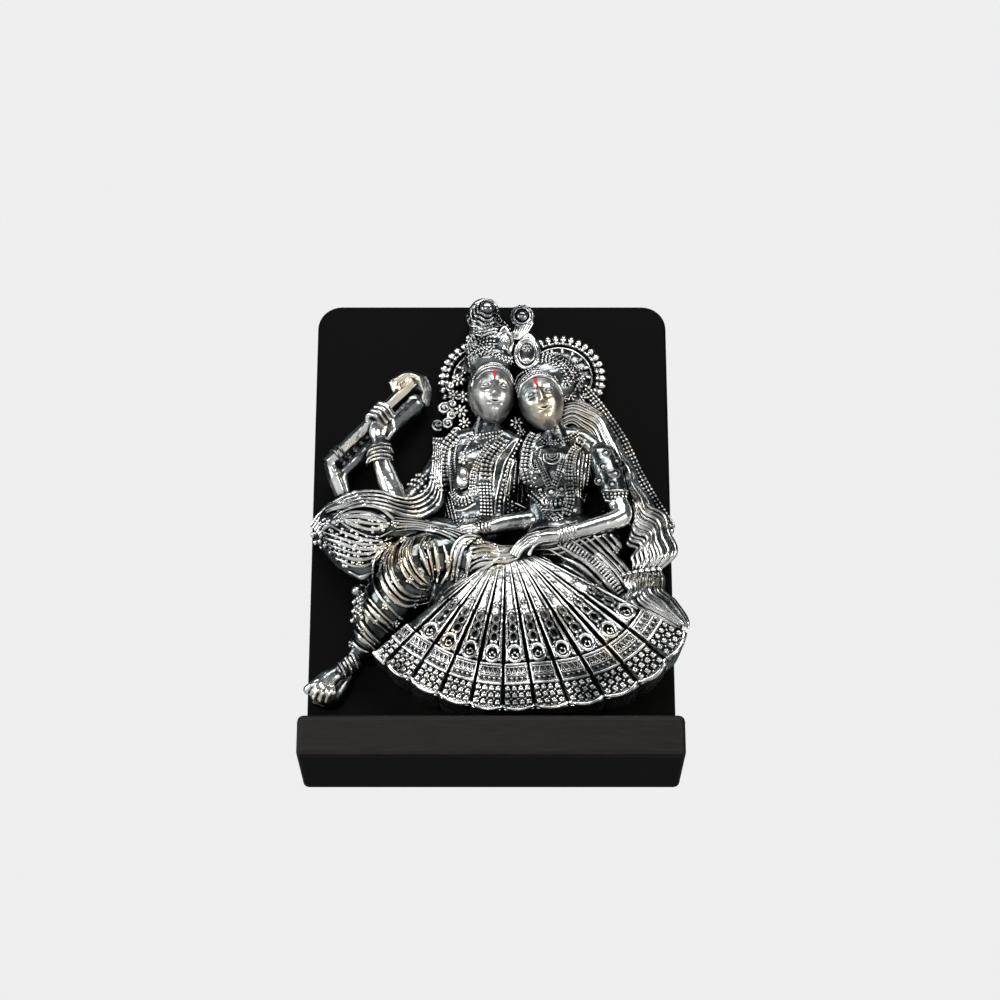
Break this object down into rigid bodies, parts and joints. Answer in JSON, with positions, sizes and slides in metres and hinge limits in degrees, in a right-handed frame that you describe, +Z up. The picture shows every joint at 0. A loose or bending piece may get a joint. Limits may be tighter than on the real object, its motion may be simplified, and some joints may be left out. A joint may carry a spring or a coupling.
{
  "type": "radha krishna statue",
  "caption": "Antique-silver high relief of a seated couple with a flute and a fanned pleated skirt, fixed to a dark wooden back board on a foot rail.",
  "frame": {"origin": "centre of the footprint of the whole statue, on the underside of the base block", "axes": "+Z up, +X to the viewer's right, the figures face -Y"},
  "size_m": [0.1386, 0.04, 0.1865],
  "materials": {
    "antique_silver": "silver plate, polished on the high spots and blackened in the recesses",
    "dark_wood": "very dark brown satin paint"
  },
  "bodies": {
    "root": {"figure_group": "antique_silver", "back_board": "dark_wood", "base_block": "dark_wood"}
  },
  "joints": []
}
